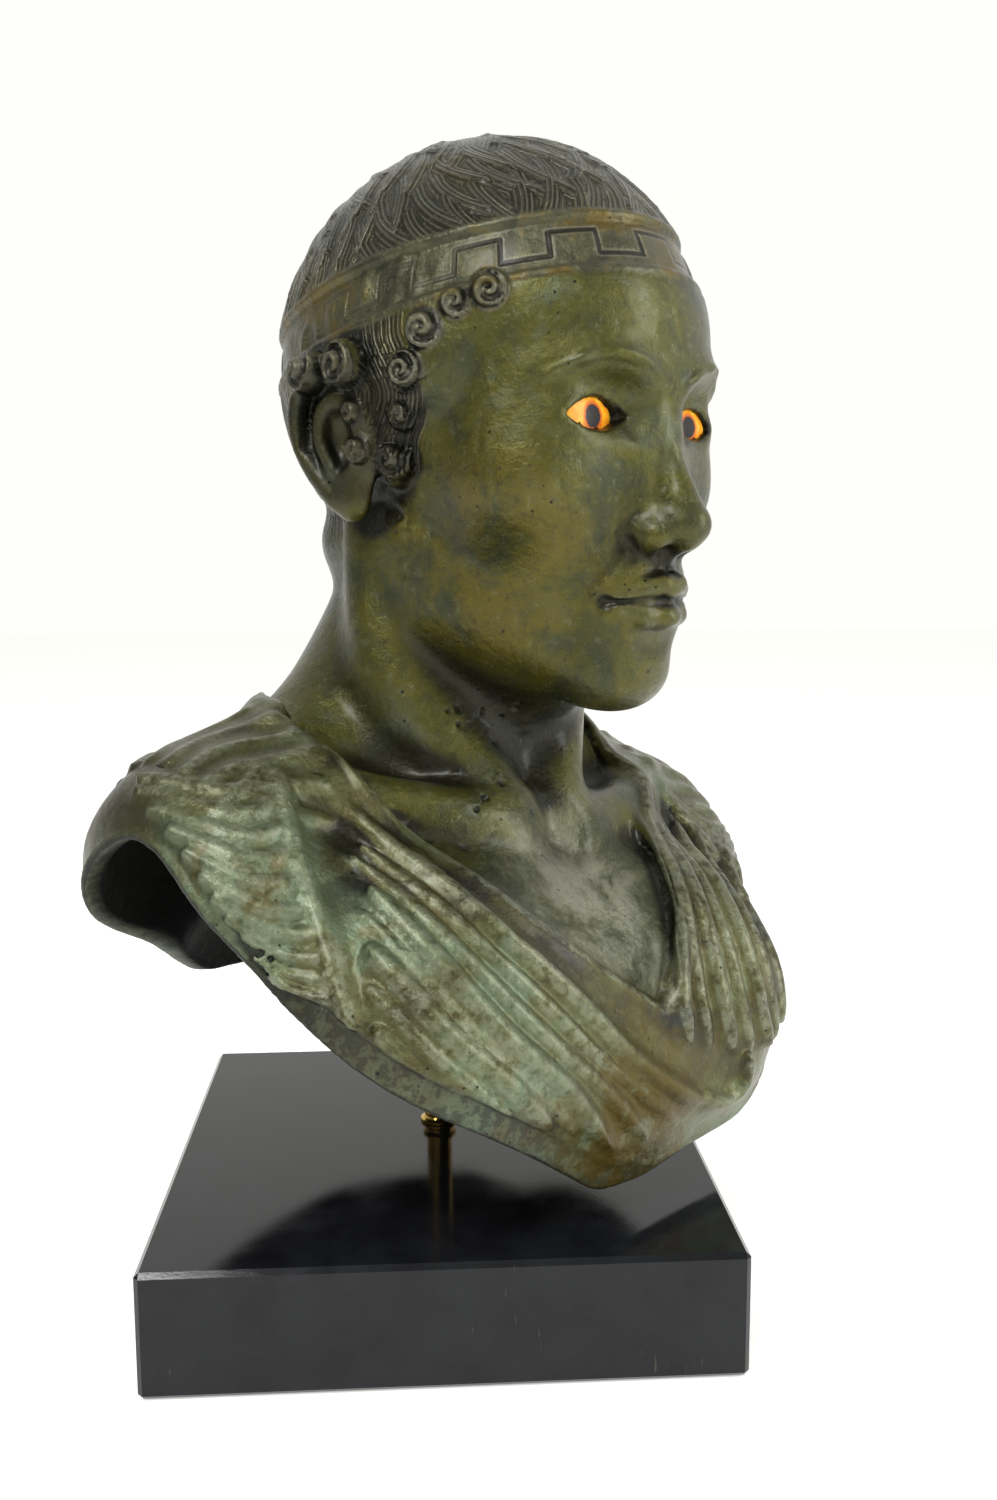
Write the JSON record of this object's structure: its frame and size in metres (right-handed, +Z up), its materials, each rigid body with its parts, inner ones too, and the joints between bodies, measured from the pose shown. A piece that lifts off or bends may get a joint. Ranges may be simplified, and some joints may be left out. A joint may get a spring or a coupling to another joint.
{
  "type": "draped portrait bust on a stand",
  "caption": "Life-size hollow bronze bust of a draped young athlete with a ribbon round the curls and inlaid eyes, on a thin brass post and a square stone slab.",
  "frame": {"origin": "middle of the slab's underside", "axes": "+Z up; the slab's sides lie along X and Y; the picture's camera looks along +Y; the chest faces 40 degrees from -Y towards +X"},
  "size_m": [0.3117, 0.2986, 0.5035],
  "materials": {
    "bronze": "cast bronze, dark olive patina with waxy highlights",
    "amber_paste": "polished amber glass paste with a black pupil",
    "brass": "polished, lightly aged",
    "black_stone": "black, polished like a mirror, with greyer chamfers"
  },
  "bodies": {
    "root": {"bronze_bust": "bronze", "left_eye_inlay": "amber_paste", "right_eye_inlay": "amber_paste", "brass_post": "brass", "brass_collar": "brass", "stone_slab": "black_stone"}
  },
  "joints": []
}
